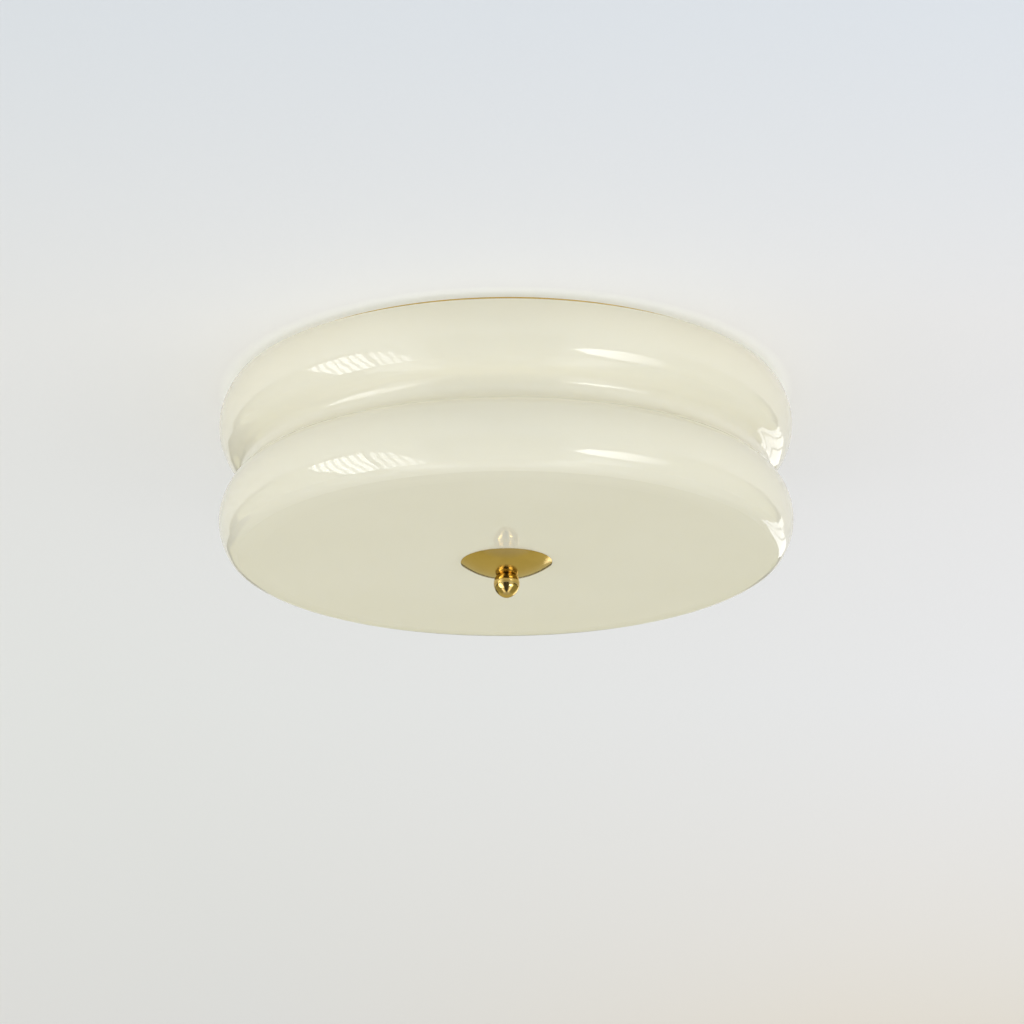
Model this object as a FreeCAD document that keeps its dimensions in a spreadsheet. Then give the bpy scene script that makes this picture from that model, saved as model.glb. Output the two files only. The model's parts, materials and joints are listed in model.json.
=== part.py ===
import FreeCAD, Part
import Sketcher
import math
import os
import re

# Ceiling light: a two-tier opal glass shade held up against a brass pan by a ball finial.
# The origin is on the lamp's axis in the ceiling plane, +Z is up, and everything hangs below it.
# All sizes are in millimetres; a "drop" is a depth below the ceiling.

SIZES = {
    # glass shade
    "glass_radius": 200.0,
    "glass_wall": 4.0,
    "glass_hole_radius": 5.5,
    "glass_edge_round": 1.0,
    "mouth_gap": 4.5,
    "upper_bulge_radius": 34.3,
    "upper_bulge_drop": 25.5,
    "upper_turn_radius": 21.8,
    "upper_turn_angle": 33.4,
    "groove_fillet": 10.0,
    "lower_inset": 1.5,
    "lower_shoulder_radius": 19.3,
    "lower_shoulder_angle": 33.7,
    "lower_bulge_radius": 34.5,
    "lower_bulge_drop": 94.5,
    "lower_corner_radius": 11.7,
    "lower_corner_angle": 34.4,
    "lower_sweep_radius": 101.6,
    "lower_sweep_angle": 81.8,
    "seat_gap": 0.2,
    # ceiling pan
    "pan_gap": 4.5,
    "pan_depth": 21.0,
    "pan_sheet": 1.0,
    "pan_corner": 4.0,
    "pan_flange": 6.0,
    "hole_clearance": 0.2,
    "thread_gap": 0.1,
    # ceiling strap, its studs and their nuts
    "strap_length": 130.0,
    "strap_width": 20.0,
    "strap_sheet": 1.5,
    "strap_hole_radius": 6.0,
    "slot_spacing": 60.0,
    "slot_length": 20.0,
    "slot_width": 5.0,
    "stud_spacing": 110.0,
    "stud_radius": 2.0,
    "stud_end": 6.0,
    "cap_nut_flats": 7.0,
    "cap_nut_height": 5.0,
    "cap_nut_dome": 3.2,
    "small_washer_radius": 4.5,
    "small_washer_sheet": 0.8,
    # centre rod with its nuts and washers
    "rod_radius": 4.0,
    "rod_top_drop": 9.5,
    "rod_engagement": 10.5,
    "rod_nut_flats": 13.0,
    "rod_nut_height": 6.5,
    "rod_washer_radius": 8.5,
    "rod_washer_sheet": 1.2,
    "stop_washer_radius": 20.0,
    "stop_washer_sheet": 1.5,
    "inner_seal_sheet": 2.0,
    # dish and ball that close the shade
    "dish_radius": 31.6,
    "dish_depth": 9.5,
    "dish_flat_radius": 7.5,
    "dish_wall": 1.2,
    "dish_seal_radius": 27.0,
    "dish_seal_width": 6.0,
    "dish_seal_sheet": 1.2,
    "finial_radius": 9.0,
    "finial_top_radius": 7.0,
    "finial_tip_length": 10.2,
    "finial_thread_depth": 11.0,
    # three lampholders on sheet brackets
    "lamp_drop": 46.0,
    "holder_back": 20.0,
    "holder_block_length": 18.0,
    "holder_block_half": 16.5,
    "holder_block_round": 2.0,
    "holder_length": 46.0,
    "holder_radius": 19.5,
    "holder_skirt_round": 2.0,
    "holder_bore_radius": 14.2,
    "holder_floor": 9.0,
    "holder_screw_offset": 9.0,
    "holder_screw_depth": 6.0,
    "shell_outer_radius": 14.0,
    "shell_inner_radius": 13.35,
    "shell_length": 30.0,
    "shell_floor_width": 2.0,
    "contact_width": 6.0,
    "contact_sheet": 0.6,
    "contact_rise": 4.8,
    "contact_reach": 16.0,
    "contact_foot": 5.0,
    "bracket_sheet": 1.2,
    "bracket_width": 10.0,
    "bracket_foot_end": 50.0,
    "bracket_leg_extra": 13.0,
    "bracket_bend": 2.4,
    "rivet_near": 30.0,
    "rivet_far": 44.0,
    "screw_radius": 1.5,
    "screw_head_radius": 2.8,
    "screw_head_height": 1.8,
    "rivet_head_height": 1.0,
    # lamps
    "bulb_start": 34.0,
    "bulb_contact_radius": 4.5,
    "bulb_contact_height": 1.5,
    "bulb_insulator_height": 4.0,
    "bulb_cap_radius": 13.0,
    "bulb_cap_length": 26.0,
    "bulb_neck_radius": 13.4,
    "bulb_neck_length": 7.0,
    "bulb_base_radius": 20.5,
    "bulb_base_length": 28.0,
    "bulb_globe_radius": 22.5,
    "bulb_globe_wall": 1.2,
    # leads and their grommets
    "lead_radius": 1.9,
    "lead_distance": 29.0,
    "lead_offset": 10.4,
    "lead_run_drop": 13.5,
    "lead_entry_depth": 3.0,
    "lead_bend": 5.0,
    "lead_approach": 8.0,
    "grommet_radius": 5.2,
    "grommet_neck_radius": 3.4,
    "grommet_flange": 1.2,
    # connection box over the plate
    "box_centre": 60.0,
    "box_length": 56.0,
    "box_width": 32.0,
    "box_height": 13.0,
    "box_wall": 1.5,
    "box_corner": 3.0,
    "lid_sheet": 1.5,
    "lid_screw_radius": 1.2,
    "lid_screw_length": 8.0,
    "lid_boss_radius": 3.4,
    "lid_boss_inset": 4.5,
    "box_screw_length": 5.5,
    "box_boss_height": 4.0,
    "supply_hole_radius": 4.0,
    "strip_length": 42.0,
    "strip_width": 15.0,
    "strip_height": 9.0,
    "strip_bore_radius": 2.0,
    "insert_bore_radius": 1.4,
    "insert_length": 11.0,
    "strip_screw_radius": 1.3,
    "strip_screw_offset": 3.5,
    # earth post
    "earth_reach": 19.0,
    "earth_offset": 12.0,
    "earth_lead_radius": 1.3,
    "earth_ring_radius": 4.2,
    "earth_ring_sheet": 0.8,
    "earth_nut_flats": 7.0,
    "earth_nut_height": 3.2,
    "earth_screw_end": 1.4,
    "earth_lead_rise": 4.0,
    "earth_lead_bend": 2.6,
    # cuts run past the surface by this much
    "overrun": 1.0,
}

HOLDER_ANGLES = [90.0, 210.0, 330.0]
STRIP_POLES = 6
NUT_TURN_SHARE = 1.06
BULB_FLARE_SHARE = 1.5
BEND_SHARE = 0.45
VOLUME_TOLERANCE = 0.01

# Where each lead turns on its way over the plate, as shares of lead_distance from the lamp's axis
LEAD_ROUTE_SHARES = {
    1: [(-0.60, 0.30), (-0.42, -0.55)],
    2: [],
    3: [(1.12, -0.90)],
}

MOUTH_REACH = "sqrt(upper_bulge_radius ^ 2 - (upper_bulge_drop - mouth_gap) ^ 2)"
MOUTH_RADIUS = f"(glass_radius - upper_bulge_radius + {MOUTH_REACH})"
PAN_RADIUS = f"({MOUTH_RADIUS} - glass_wall - pan_gap)"
PLATE_TOP = "(pan_depth - pan_sheet)"
UPPER_CENTRE = ("glass_radius - upper_bulge_radius", "-upper_bulge_drop")
LOWER_CENTRE = ("glass_radius - lower_inset - lower_bulge_radius", "-lower_bulge_drop")
CORNER_CENTRE = (
    f"{LOWER_CENTRE[0]} + (lower_bulge_radius - lower_corner_radius) * cos(lower_corner_angle)",
    f"{LOWER_CENTRE[1]} - (lower_bulge_radius - lower_corner_radius) * sin(lower_corner_angle)",
)
SWEEP_CENTRE = (
    f"{CORNER_CENTRE[0]} + (lower_corner_radius - lower_sweep_radius) * cos(lower_sweep_angle)",
    f"{CORNER_CENTRE[1]} - (lower_corner_radius - lower_sweep_radius) * sin(lower_sweep_angle)",
)
# The shade's convex arcs from the rim down: radius, centre, and the sketch axes that hold the centre
UPPER_ARCS = [
    ("upper_bulge_radius", UPPER_CENTRE, "XY"),
    ("upper_turn_radius",
     (f"{UPPER_CENTRE[0]} + (upper_bulge_radius - upper_turn_radius) * cos(upper_turn_angle)",
      f"{UPPER_CENTRE[1]} - (upper_bulge_radius - upper_turn_radius) * sin(upper_turn_angle)"), "Y"),
]
LOWER_ARCS = [
    ("lower_shoulder_radius",
     (f"{LOWER_CENTRE[0]} + (lower_bulge_radius - lower_shoulder_radius) * cos(lower_shoulder_angle)",
      f"{LOWER_CENTRE[1]} + (lower_bulge_radius - lower_shoulder_radius) * sin(lower_shoulder_angle)"), "Y"),
    ("lower_bulge_radius", LOWER_CENTRE, "XY"),
    ("lower_corner_radius", CORNER_CENTRE, "Y"),
    ("lower_sweep_radius", SWEEP_CENTRE, ""),
]
GLASS_BOTTOM = f"(lower_sweep_radius - ({SWEEP_CENTRE[1]}))"
GLASS_FLOOR = f"({GLASS_BOTTOM} - glass_wall)"
SEAL_TOP = f"({GLASS_FLOOR} - seat_gap - inner_seal_sheet)"
WASHER_TOP = f"({SEAL_TOP} - stop_washer_sheet)"
DISH_TOP = f"({GLASS_BOTTOM} + seat_gap)"
DISH_BOTTOM = f"({DISH_TOP} + dish_depth)"
FINIAL_TOP = f"({DISH_BOTTOM} + seat_gap)"
FINIAL_WAIST = f"({FINIAL_TOP} + sqrt(finial_radius ^ 2 - finial_top_radius ^ 2))"
HOLDER_MOUTH = "(holder_back + holder_length)"
BULB_BASE_START = "(bulb_start + bulb_cap_length)"
BULB_BASE_END = f"({BULB_BASE_START} + bulb_base_length)"
GLOBE_RISE = "sqrt(bulb_globe_radius ^ 2 - bulb_base_radius ^ 2)"
STRIP_PITCH = f"(strip_length / {STRIP_POLES})"
BOX_FLOOR = f"({PLATE_TOP} - box_wall)"
BOX_TOP = f"({PLATE_TOP} - box_height)"
LID_SCREW_PLACES = [
    ("box_length / 2 - lid_boss_inset", "-box_centre + box_width / 2 - lid_boss_inset"),
    ("-box_length / 2 + lid_boss_inset", "-box_centre - box_width / 2 + lid_boss_inset"),
]
BOX_SCREW_PLACES = [
    ("-box_length / 2 + lid_boss_inset", "-box_centre + box_width / 2 - lid_boss_inset"),
    ("box_length / 2 - lid_boss_inset", "-box_centre - box_width / 2 + lid_boss_inset"),
]
LEAD_ENTRIES = [f"{step} * {STRIP_PITCH}" for step in (0, -2, 2)]
STRIP_AXIS = f"({BOX_FLOOR} - strip_height / 2)"
EARTH_BARREL_RISE = "(earth_ring_sheet + thread_gap + earth_lead_radius)"
EARTH_X = "(box_length / 2 + earth_reach)"
EARTH_Y = "(earth_offset - box_centre)"

doc = FreeCAD.newDocument("ceiling_light")
sheet = doc.addObject("Spreadsheet::Sheet", "Sizes")


def fill_sheet():
    """Write every driving dimension into the sheet under its own alias."""
    for row, (alias, number) in enumerate(SIZES.items(), start=1):
        sheet.set(f"A{row}", alias.replace("_", " "))
        sheet.set(f"B{row}", str(number))
        sheet.setAlias(f"B{row}", alias)
    doc.recompute()


def bound(formula):
    """A formula in the sheet's words, as an expression that an object can be bound to."""
    return re.sub(r"[a-z_]+", lambda word: f"Sizes.{word[0]}" if word[0] in SIZES else word[0], formula)


def size(formula):
    """The present value of a formula."""
    return float(sheet.evalExpression(bound(formula)))


def turned(vector, angle):
    """A vector turned about the lamp's axis."""
    return FreeCAD.Rotation(FreeCAD.Vector(0, 0, 1), angle).multVec(vector)


# Sketches and features

def new_body(label):
    body = doc.addObject("PartDesign::Body", label)
    body.Label = label
    return body


def origin_feature(body, role):
    return next(feature for feature in body.Origin.OriginFeatures if feature.Role == role)


def plane_sketch(body, role, level="0"):
    """A sketch on one of the body's own planes, moved along the plane's normal."""
    sketch = body.newObject("Sketcher::SketchObject", f"{body.Label}_sketch")
    sketch.AttachmentSupport = [(origin_feature(body, role), "")]
    sketch.MapMode = "FlatFace"
    if level != "0":
        sketch.setExpression("AttachmentOffset.Base.z", bound(level))
    return sketch


def datum(sketch, kind, *targets, formula):
    """A constraint with a size that follows the sheet."""
    index = sketch.addConstraint(Sketcher.Constraint(kind, *targets, size(formula)))
    sketch.setExpression(f"Constraints[{index}]", bound(formula))


def pin(sketch, geometry, point, x, y):
    """Hold a point of the sketch at two formulas, or on an axis where the formula is 0."""
    for kind, axis, formula in (("DistanceX", -2, x), ("DistanceY", -1, y)):
        if formula == "0":
            sketch.addConstraint(Sketcher.Constraint("PointOnObject", geometry, point, axis))
        else:
            datum(sketch, kind, -1, 1, geometry, point, formula=formula)


def arc_through(start, end, radius, turn):
    """The short arc from start to end, with its centre to the left for turn 1 and right for -1."""
    chord = end - start
    rise = math.sqrt(max(radius ** 2 - (chord.Length / 2) ** 2, 0.0))
    left = FreeCAD.Vector(-chord.y, chord.x, 0).normalize()
    centre = (start + end) * 0.5 + left * (turn * rise)
    first, last = (start, end) if turn > 0 else (end, start)
    angles = [math.atan2(point.y - centre.y, point.x - centre.x) for point in (first, last)]
    return Part.ArcOfCircle(Part.Circle(centre, FreeCAD.Vector(0, 0, 1), radius), *angles)


def outline(sketch, corners):
    """A closed outline. A corner (x, y) starts a straight side, (x, y, radius, turn) an arc."""
    points = [FreeCAD.Vector(size(corner[0]), size(corner[1]), 0) for corner in corners]
    ends = []
    for index, corner in enumerate(corners):
        start, end = points[index], points[(index + 1) % len(points)]
        if len(corner) == 2:
            side = sketch.addGeometry(Part.LineSegment(start, end), False)
            ends.append((side, 1, 2))
        else:
            side = sketch.addGeometry(arc_through(start, end, size(corner[2]), corner[3]), False)
            datum(sketch, "Radius", side, formula=corner[2])
            ends.append((side, 1, 2) if corner[3] > 0 else (side, 2, 1))
    for index, corner in enumerate(corners):
        side, start, end = ends[index]
        following, next_start, _ = ends[(index + 1) % len(ends)]
        sketch.addConstraint(Sketcher.Constraint("Coincident", side, end, following, next_start))
        pin(sketch, side, start, corner[0], corner[1])


def rectangle(sketch, x, y, length, width):
    """A rectangle about the centre (x, y)."""
    left, right = f"{x} - {length} / 2", f"{x} + {length} / 2"
    front, back = f"{y} - {width} / 2", f"{y} + {width} / 2"
    outline(sketch, [(left, front), (right, front), (right, back), (left, back)])


def rounded_rectangle(sketch, x, y, length, width, corner):
    """A rectangle about the centre (x, y) with four round corners."""
    left, right = f"{x} - {length} / 2", f"{x} + {length} / 2"
    front, back = f"{y} - {width} / 2", f"{y} + {width} / 2"
    outline(sketch, [
        (f"{left} + {corner}", front), (f"{right} - {corner}", front, corner, 1),
        (right, f"{front} + {corner}"), (right, f"{back} - {corner}", corner, 1),
        (f"{right} - {corner}", back), (f"{left} + {corner}", back, corner, 1),
        (left, f"{back} - {corner}"), (left, f"{front} + {corner}", corner, 1),
    ])


def circles(sketch, radius, centres):
    for x, y in centres:
        centre = FreeCAD.Vector(size(x), size(y), 0)
        circle = sketch.addGeometry(Part.Circle(centre, FreeCAD.Vector(0, 0, 1), size(radius)), False)
        datum(sketch, "Radius", circle, formula=radius)
        pin(sketch, circle, 3, x, y)


def revolve(body, sketch):
    """Turn a sketch once round its upright axis."""
    turn = body.newObject("PartDesign::Revolution", f"{body.Label}_turned")
    turn.Profile = sketch
    turn.ReferenceAxis = (sketch, ["V_Axis"])
    turn.Angle = 360
    return turn


def pad(body, sketch, length, midplane=False):
    block = body.newObject("PartDesign::Pad", f"{body.Label}_pad")
    block.Profile = sketch
    block.setExpression("Length", bound(length))
    block.Midplane = midplane
    return block


def pocket(body, sketch, length, reversed_cut=False, midplane=False):
    """Cut a sketch into the body, and stop if the cut takes nothing away."""
    doc.recompute()
    before = body.Shape.Volume
    cut_feature = body.newObject("PartDesign::Pocket", f"{body.Label}_pocket")
    cut_feature.Profile = sketch
    cut_feature.setExpression("Length", bound(length))
    cut_feature.Reversed = reversed_cut
    cut_feature.Midplane = midplane
    doc.recompute()
    if body.Shape.Volume >= before:
        raise RuntimeError(f"{cut_feature.Name} cuts nothing")
    return cut_feature


def polar(body, features, count):
    """Repeat features round the lamp's axis."""
    pattern = body.newObject("PartDesign::PolarPattern", f"{body.Label}_pattern")
    pattern.Originals = features
    pattern.Axis = (origin_feature(body, "Z_Axis"), [""])
    pattern.Angle = 360
    pattern.Occurrences = count
    body.Tip = pattern
    return pattern


def hollow_out(body, sketch):
    """Turn a sketch round its upright axis as a cut, and stop if it takes nothing away."""
    doc.recompute()
    before = body.Shape.Volume
    groove = body.newObject("PartDesign::Groove", f"{body.Label}_hollow")
    groove.Profile = sketch
    groove.ReferenceAxis = (sketch, ["V_Axis"])
    groove.Angle = 360
    doc.recompute()
    if body.Shape.Volume >= before:
        raise RuntimeError(f"{groove.Name} cuts nothing")
    return groove


def hollow(body, feature, wall):
    """Shell a turned solid inwards from its flat top."""
    doc.recompute()
    tops = [(face.CenterOfMass.z, index) for index, face in enumerate(feature.Shape.Faces, start=1)
            if isinstance(face.Surface, Part.Plane)]
    shell = body.newObject("PartDesign::Thickness", f"{body.Label}_shell")
    shell.Base = (feature, [f"Face{max(tops)[1]}"])
    shell.setExpression("Value", bound(wall))
    shell.Reversed = True
    doc.recompute()
    return shell


def round_edges(body, feature, radius, chosen):
    """Round the edges that a test picks out."""
    doc.recompute()
    names = [f"Edge{index}" for index, edge in enumerate(feature.Shape.Edges, start=1) if chosen(edge)]
    fillet = body.newObject("PartDesign::Fillet", f"{body.Label}_round")
    fillet.Base = (feature, names)
    fillet.setExpression("Radius", bound(radius))
    doc.recompute()
    return fillet


# Plain turned and boxed pieces

def place(piece, x, y, z):
    for axis, formula in (("x", x), ("y", y), ("z", z)):
        if formula != "0":
            piece.setExpression(f"Placement.Base.{axis}", bound(formula))
    return piece


def cylinder(name, radius, height, x, y, z):
    """An upright cylinder whose lower face is at z."""
    piece = doc.addObject("Part::Cylinder", name)
    piece.setExpression("Radius", bound(radius))
    piece.setExpression("Height", bound(height))
    return place(piece, x, y, z)


def prism(name, flats, height, x, y, z):
    """An upright hexagonal bar, measured across its flats."""
    piece = doc.addObject("Part::Prism", name)
    piece.Polygon = 6
    piece.setExpression("Circumradius", bound(f"{flats} / 2 / cos(30)"))
    piece.setExpression("Height", bound(height))
    return place(piece, x, y, z)


def sphere(name, radius, x, y, z):
    piece = doc.addObject("Part::Sphere", name)
    piece.setExpression("Radius", bound(radius))
    return place(piece, x, y, z)


def fuse(name, pieces):
    joined = doc.addObject("Part::MultiFuse", name)
    joined.Shapes = pieces
    return joined


def common(name, first, second):
    shared = doc.addObject("Part::Common", name)
    shared.Base = first
    shared.Tool = second
    return shared


def cut(name, base, tool):
    result = doc.addObject("Part::Cut", name)
    result.Base = base
    result.Tool = tool
    return result


def group(label, pieces):
    """Identical pieces as separate solids of one node."""
    together = doc.addObject("Part::Compound", label)
    together.Links = pieces
    together.Label = label
    return together


def ring(name, outer, inner, height, x, y, z):
    """A washer or sleeve whose lower face is at z."""
    disc = cylinder(f"{name}_disc", outer, height, x, y, z)
    hole = cylinder(f"{name}_hole", inner, f"{height} + 2 * overrun", x, y, f"{z} - overrun")
    return cut(name, disc, hole)


def hex_nut(name, flats, inner, height, x, y, z):
    """A plain nut whose lower face is at z, with its corners turned off."""
    bar = prism(f"{name}_bar", flats, height, x, y, z)
    ball = sphere(f"{name}_ball", f"sqrt(({flats} / 2) ^ 2 + ({height} / 2) ^ 2) * {NUT_TURN_SHARE}", x, y,
                  f"{z} + {height} / 2")
    hole = cylinder(f"{name}_hole", inner, f"{height} + 2 * overrun", x, y, f"{z} - overrun")
    return cut(name, common(f"{name}_turned", bar, ball), hole)


def screw(name, shank, head, head_height, x, y, top, bottom):
    """An upright screw with its head on top: drops of the head's seat and of the tip."""
    stem = cylinder(f"{name}_stem", shank, f"{bottom} - {top}", x, y, f"-{bottom}")
    cap = cylinder(f"{name}_cap", head, head_height, x, y, f"-{top}")
    return fuse(name, [stem, cap])


def on_holder_axis(piece, angle):
    """Lay an upright piece along a lampholder's axis, with its base towards the lamp's centre."""
    around = FreeCAD.Rotation(FreeCAD.Vector(0, 0, 1), angle)
    piece.Placement.Rotation = around * FreeCAD.Rotation(FreeCAD.Vector(0, 1, 0), 90)
    piece.setExpression("Placement.Base.z", bound("-lamp_drop"))
    return piece


def around_axis(piece, angle):
    piece.Placement.Rotation = FreeCAD.Rotation(FreeCAD.Vector(0, 0, 1), angle)
    return piece


# Glass shade

def centre_of(formulas):
    return FreeCAD.Vector(size(formulas[0]), size(formulas[1]), 0)


def groove_centre(above, below):
    """Centre of the groove's arc, which lies outside the arcs above and below it and touches both."""
    upper, lower = centre_of(above[1]), centre_of(below[1])
    reach_upper = size(f"{above[0]} + groove_fillet")
    reach_lower = size(f"{below[0]} + groove_fillet")
    span = lower - upper
    along = (reach_upper ** 2 - reach_lower ** 2 + span.Length ** 2) / (2 * span.Length)
    across = math.sqrt(reach_upper ** 2 - along ** 2)
    direction = FreeCAD.Vector(span).normalize()
    return upper + direction * along + FreeCAD.Vector(-direction.y, direction.x, 0) * across


def shade_arcs():
    """The shade's arcs from the rim down: radius, centre, held axes, and 1 for convex or -1 for hollow."""
    groove = ("groove_fillet", groove_centre(UPPER_ARCS[-1], LOWER_ARCS[0]), "", -1)
    convex = [[(radius, centre_of(centre), held, 1) for radius, centre, held in arcs]
              for arcs in (UPPER_ARCS, LOWER_ARCS)]
    return convex[0] + [groove] + convex[1]


def shade_normals(arcs, mouth):
    """Headings of the glass's outward normal at the rim, at each joint of two arcs, and at the bottom."""
    radius, centre = size(arcs[0][0]), arcs[0][1]
    headings = [math.asin((mouth - centre.y) / radius)]
    for (radius, centre, _, way), (next_radius, next_centre, _, next_way) in zip(arcs, arcs[1:]):
        grows = math.copysign(1, way * size(radius) - next_way * size(next_radius))
        step = (next_centre - centre) * grows
        headings.append(math.atan2(step.y, step.x))
    return headings + [-math.pi / 2]


def shade_outline(sketch, inset, mouth):
    """Two round bulges with a hollow groove between them, over a flat bottom.

    The glass's inner face is the same outline, moved in by the wall."""
    arcs = shade_arcs()
    depth = size(inset)
    outer_mouth = size(mouth)
    first_radius = size(arcs[0][0]) - depth
    normals = shade_normals(arcs, outer_mouth)
    normals[0] = math.asin((outer_mouth - arcs[0][1].y) / first_radius)
    drawn = []
    for (radius, centre, held, way), above, below in zip(arcs, normals, normals[1:]):
        start, end = (below, above) if way > 0 else (above + math.pi, below + math.pi)
        circle = Part.Circle(centre, FreeCAD.Vector(0, 0, 1), size(radius) - way * depth)
        index = sketch.addGeometry(Part.ArcOfCircle(circle, start, end), False)
        drawn.append((index, 2 if way > 0 else 1, 1 if way > 0 else 2))
    bottom = -size(GLASS_BOTTOM) + depth
    rim = arcs[0][1] + FreeCAD.Vector(math.cos(normals[0]), math.sin(normals[0]), 0) * first_radius
    corner = FreeCAD.Vector(arcs[-1][1].x, bottom, 0)
    centre_top, centre_bottom = FreeCAD.Vector(0, outer_mouth, 0), FreeCAD.Vector(0, bottom, 0)
    mouth_line = sketch.addGeometry(Part.LineSegment(centre_top, rim), False)
    axis_line = sketch.addGeometry(Part.LineSegment(centre_bottom, centre_top), False)
    bottom_line = sketch.addGeometry(Part.LineSegment(corner, centre_bottom), False)
    for (upper, _, upper_end), (lower, lower_start, _) in zip(drawn, drawn[1:]):
        sketch.addConstraint(Sketcher.Constraint("Tangent", upper, upper_end, lower, lower_start))
    sketch.addConstraint(Sketcher.Constraint("Tangent", drawn[-1][0], drawn[-1][2], bottom_line, 1))
    for first, first_point, second, second_point in (
            (mouth_line, 2, drawn[0][0], drawn[0][1]),
            (bottom_line, 2, axis_line, 1),
            (axis_line, 2, mouth_line, 1)):
        sketch.addConstraint(Sketcher.Constraint("Coincident", first, first_point, second, second_point))
    for line in (mouth_line, bottom_line):
        sketch.addConstraint(Sketcher.Constraint("Horizontal", line))
    pin(sketch, mouth_line, 1, "0", mouth)
    pin(sketch, axis_line, 1, "0", f"{inset} - {GLASS_BOTTOM}")
    formulas = UPPER_ARCS + [("groove_fillet", None, "")] + LOWER_ARCS
    for (index, _, _), (radius, centre, held), (_, _, _, way) in zip(drawn, formulas, arcs):
        sign = "-" if way > 0 else "+"
        datum(sketch, "Radius", index, formula=f"{radius} {sign} {inset}")
        for kind, letter, place_formula in zip(("DistanceX", "DistanceY"), "XY", centre or ("", "")):
            if letter in held:
                datum(sketch, kind, -1, 1, index, 3, formula=place_formula)


def glass_shade():
    body = new_body("glass_shade")
    outer = plane_sketch(body, "XZ_Plane")
    shade_outline(outer, "0", "-mouth_gap")
    revolve(body, outer)
    inner = plane_sketch(body, "XZ_Plane")
    shade_outline(inner, "glass_wall", "overrun - mouth_gap")
    hollow_out(body, inner)
    hole = plane_sketch(body, "XY_Plane", f"-{GLASS_BOTTOM}")
    circles(hole, "glass_hole_radius", [("0", "0")])
    drilled = pocket(body, hole, "2 * glass_wall + overrun", midplane=True)
    mouth_level = size("-mouth_gap")
    round_edges(body, drilled, "glass_edge_round",
                lambda edge: abs(edge.CenterOfMass.z - mouth_level) < edge.Tolerance)
    return body


# Ceiling pan and strap

def pan():
    body = new_body("pan")
    sketch = plane_sketch(body, "XZ_Plane")
    outline(sketch, [
        (f"{PAN_RADIUS} - pan_flange", "0"),
        (PAN_RADIUS, "0"),
        (PAN_RADIUS, "pan_corner - pan_depth", "pan_corner", -1),
        (f"{PAN_RADIUS} - pan_corner", "-pan_depth"),
        ("rod_radius + hole_clearance", "-pan_depth"),
        ("rod_radius + hole_clearance", "pan_sheet - pan_depth"),
        (f"{PAN_RADIUS} - pan_corner", "pan_sheet - pan_depth", "pan_corner - pan_sheet", 1),
        (f"{PAN_RADIUS} - pan_sheet", "pan_corner - pan_depth"),
        (f"{PAN_RADIUS} - pan_sheet", "-pan_sheet"),
        (f"{PAN_RADIUS} - pan_flange", "-pan_sheet"),
    ])
    revolve(body, sketch)
    depth = "2 * pan_sheet + overrun"
    level = "-pan_depth"
    studs = plane_sketch(body, "XY_Plane", level)
    circles(studs, "stud_radius + hole_clearance", [("stud_spacing / 2", "0"), ("-stud_spacing / 2", "0")])
    pocket(body, studs, depth, midplane=True)
    screws = plane_sketch(body, "XY_Plane", level)
    circles(screws, "screw_radius + hole_clearance", [(EARTH_X, EARTH_Y)] + BOX_SCREW_PLACES)
    pocket(body, screws, depth, midplane=True)
    rivets = plane_sketch(body, "XY_Plane", level)
    circles(rivets, "screw_radius + hole_clearance", [("0", "rivet_near"), ("0", "rivet_far")])
    rivet_holes = pocket(body, rivets, depth, midplane=True)
    leads = plane_sketch(body, "XY_Plane", level)
    circles(leads, "grommet_neck_radius + hole_clearance", [("-lead_offset", "lead_distance")])
    lead_holes = pocket(body, leads, depth, midplane=True)
    polar(body, [rivet_holes, lead_holes], len(HOLDER_ANGLES))
    return body


def slot(sketch, centre):
    """A straight-sided slot with round ends, along X."""
    half = size("slot_width / 2")
    ends = [f"{centre} - (slot_length - slot_width) / 2", f"{centre} + (slot_length - slot_width) / 2"]
    left, right = (FreeCAD.Vector(size(end), 0, 0) for end in ends)
    up = FreeCAD.Vector(0, half, 0)
    quarter = math.pi / 2
    arcs = []
    for middle, first in ((left, quarter), (right, -quarter)):
        circle = Part.Circle(middle, FreeCAD.Vector(0, 0, 1), half)
        arcs.append(sketch.addGeometry(Part.ArcOfCircle(circle, first, first + math.pi), False))
    lower = sketch.addGeometry(Part.LineSegment(left - up, right - up), False)
    upper = sketch.addGeometry(Part.LineSegment(right + up, left + up), False)
    for first, first_point, second, second_point in (
            (arcs[0], 2, lower, 1), (lower, 2, arcs[1], 1), (arcs[1], 2, upper, 1), (upper, 2, arcs[0], 1)):
        sketch.addConstraint(Sketcher.Constraint("Tangent", first, first_point, second, second_point))
    for arc, end in zip(arcs, ends):
        pin(sketch, arc, 3, end, "0")
    datum(sketch, "Radius", arcs[0], formula="slot_width / 2")


def ceiling_strap():
    body = new_body("ceiling_strap")
    bar = plane_sketch(body, "XY_Plane", "-strap_sheet")
    rounded_rectangle(bar, "0", "0", "strap_length", "strap_width",
                      "small_washer_radius")
    pad(body, bar, "strap_sheet")
    depth = "2 * strap_sheet + overrun"
    slots = plane_sketch(body, "XY_Plane")
    slot(slots, "slot_spacing / 2")
    slot(slots, "-slot_spacing / 2")
    pocket(body, slots, depth, midplane=True)
    holes = plane_sketch(body, "XY_Plane")
    circles(holes, "stud_radius", [("stud_spacing / 2", "0"), ("-stud_spacing / 2", "0")])
    circles(holes, "strap_hole_radius", [("0", "0")])
    pocket(body, holes, depth, midplane=True)
    return body


STUD_PLACES = {"right": "stud_spacing / 2", "left": "-stud_spacing / 2"}
NUT_SEAT = "(pan_depth + small_washer_sheet)"


def strap_studs():
    """Two studs clinched flush into the strap."""
    length = f"{NUT_SEAT} + stud_end"
    return group("strap_studs", [
        cylinder(f"stud_{side}", "stud_radius", length, x, "0", f"-({length})")
        for side, x in STUD_PLACES.items()])


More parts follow.
